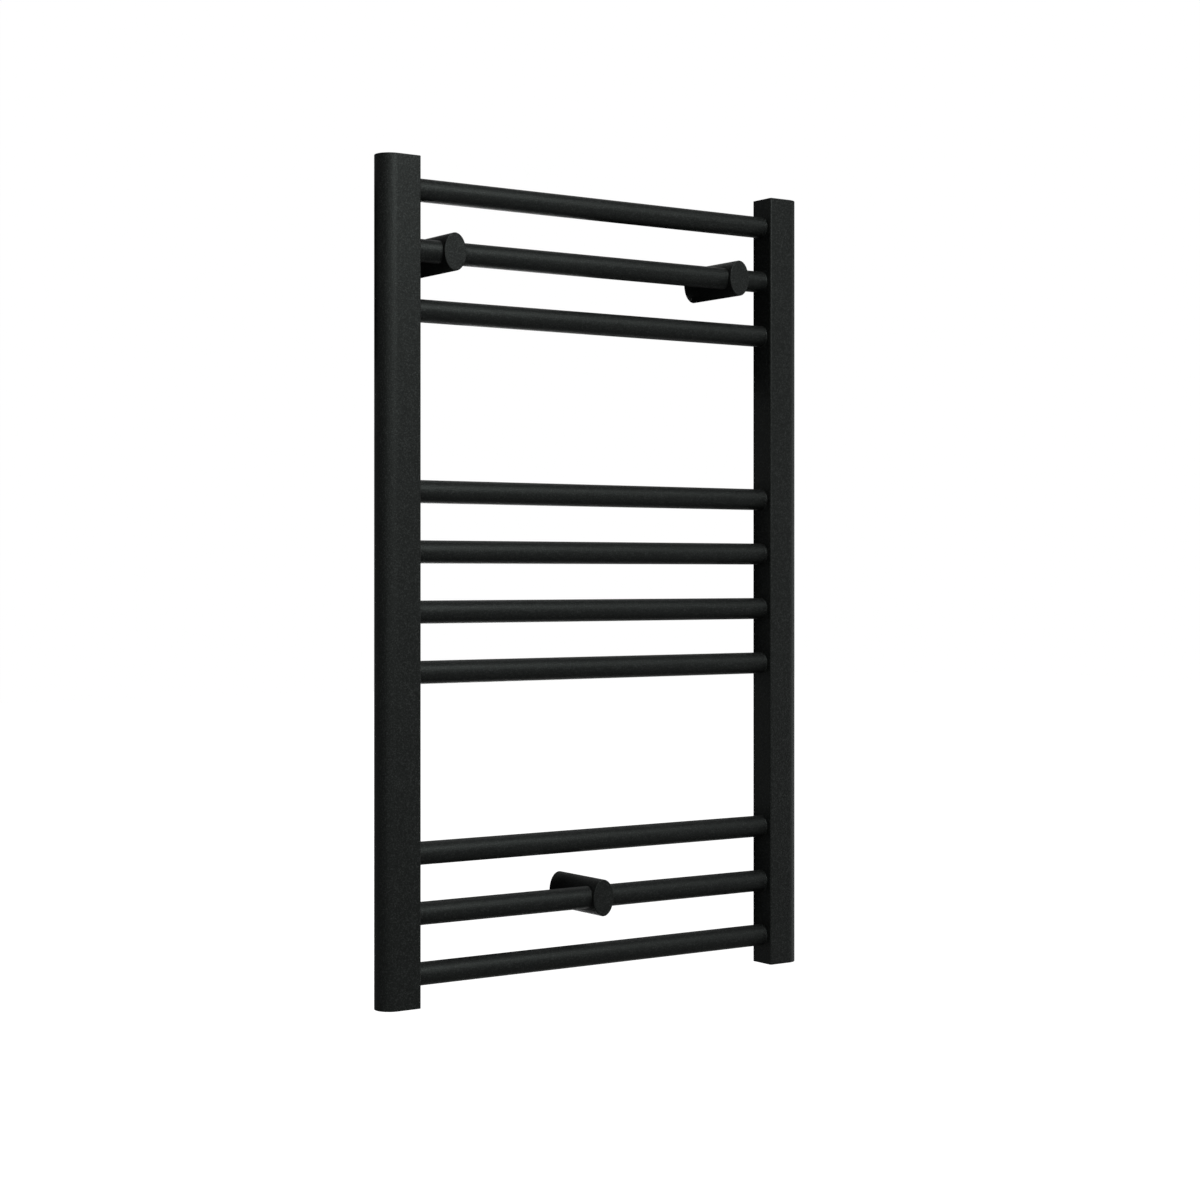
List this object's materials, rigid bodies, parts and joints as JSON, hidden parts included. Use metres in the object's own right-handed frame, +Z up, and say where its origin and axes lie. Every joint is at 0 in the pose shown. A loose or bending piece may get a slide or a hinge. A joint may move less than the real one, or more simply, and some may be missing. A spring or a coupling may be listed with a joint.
{
  "type": "towel warmer rack",
  "caption": "Wall-mounted black ladder towel warmer with D-section uprights, grouped round bars and oval stand-off brackets.",
  "frame": {"origin": "centre of the lower bracket's wall face", "axes": "+Y into the wall, so the rack stands off towards -Y; +Z up along the uprights; +X to the right when facing the wall"},
  "size_m": [0.5, 0.083, 0.8],
  "materials": {
    "powder_coat": "matte",
    "zinc_plate": "satin",
    "black_steel": "satin",
    "nickel": "polished",
    "brass": "satin",
    "nylon": "satin",
    "rubber": "matte"
  },
  "bodies": {
    "wall_posts": {"wall_post_upper_left": "zinc_plate", "wall_post_upper_right": "zinc_plate", "wall_post_lower": "zinc_plate"},
    "rack": {"upright_left": "powder_coat", "upright_right": "powder_coat", "top_plate_left": "powder_coat", "top_plate_right": "powder_coat", "port_plug_left": "powder_coat", "port_plug_right": "powder_coat", "bar_01": "powder_coat", "bar_02": "powder_coat", "bar_03": "powder_coat", "bar_04": "powder_coat", "bar_05": "powder_coat", "bar_06": "powder_coat", "bar_07": "powder_coat", "bar_08": "powder_coat", "bar_09": "powder_coat", "bar_10": "powder_coat", "vent_boss": "powder_coat", "blanking_boss": "powder_coat", "sleeve_upper_left": "powder_coat", "cap_upper_left": "powder_coat", "clamp_screw_upper_left_top": "zinc_plate", "clamp_screw_upper_left_bottom": "zinc_plate", "sleeve_upper_right": "powder_coat", "cap_upper_right": "powder_coat", "clamp_screw_upper_right_top": "zinc_plate", "clamp_screw_upper_right_bottom": "zinc_plate", "sleeve_lower": "powder_coat", "cap_lower": "powder_coat", "clamp_screw_lower_top": "zinc_plate", "clamp_screw_lower_bottom": "zinc_plate", "vent_seal": "rubber", "blanking_seal": "rubber", "vent_body": "nickel", "blanking_plug": "nickel"},
    "vent_spindle": {"vent_spindle": "brass"},
    "vent_nozzle": {"vent_nozzle": "nylon"},
    "grub_screw_upper_left": {"grub_screw_upper_left": "black_steel"},
    "grub_screw_upper_right": {"grub_screw_upper_right": "black_steel"},
    "grub_screw_lower": {"grub_screw_lower": "black_steel"}
  },
  "joints": [
    {"name": "rack_stand_off", "type": "slide", "parent": "wall_posts", "child": "rack", "axis": [0, -1, 0], "range_m": [0, 0.015]},
    {"name": "vent_spindle_turn", "type": "hinge", "parent": "rack", "child": "vent_spindle", "pos_m": [-0.2255, -0.044, 0.6975], "axis": [0, 1, 0], "range_deg": [0, 360]},
    {"name": "vent_nozzle_swivel", "type": "hinge", "parent": "rack", "child": "vent_nozzle", "pos_m": [-0.2255, -0.0455, 0.6975], "axis": [0, 1, 0], "continuous": true},
    {"name": "grub_screw_upper_left_turn", "type": "hinge", "parent": "rack", "child": "grub_screw_upper_left", "pos_m": [-0.171, -0.012, 0.6105], "axis": [0, 0, -1], "range_deg": [0, 360]},
    {"name": "grub_screw_upper_right_turn", "type": "hinge", "parent": "rack", "child": "grub_screw_upper_right", "pos_m": [0.171, -0.012, 0.6105], "axis": [0, 0, -1], "range_deg": [0, 360]},
    {"name": "grub_screw_lower_turn", "type": "hinge", "parent": "rack", "child": "grub_screw_lower", "pos_m": [0, -0.012, -0.0165], "axis": [0, 0, -1], "range_deg": [0, 360]}
  ]
}
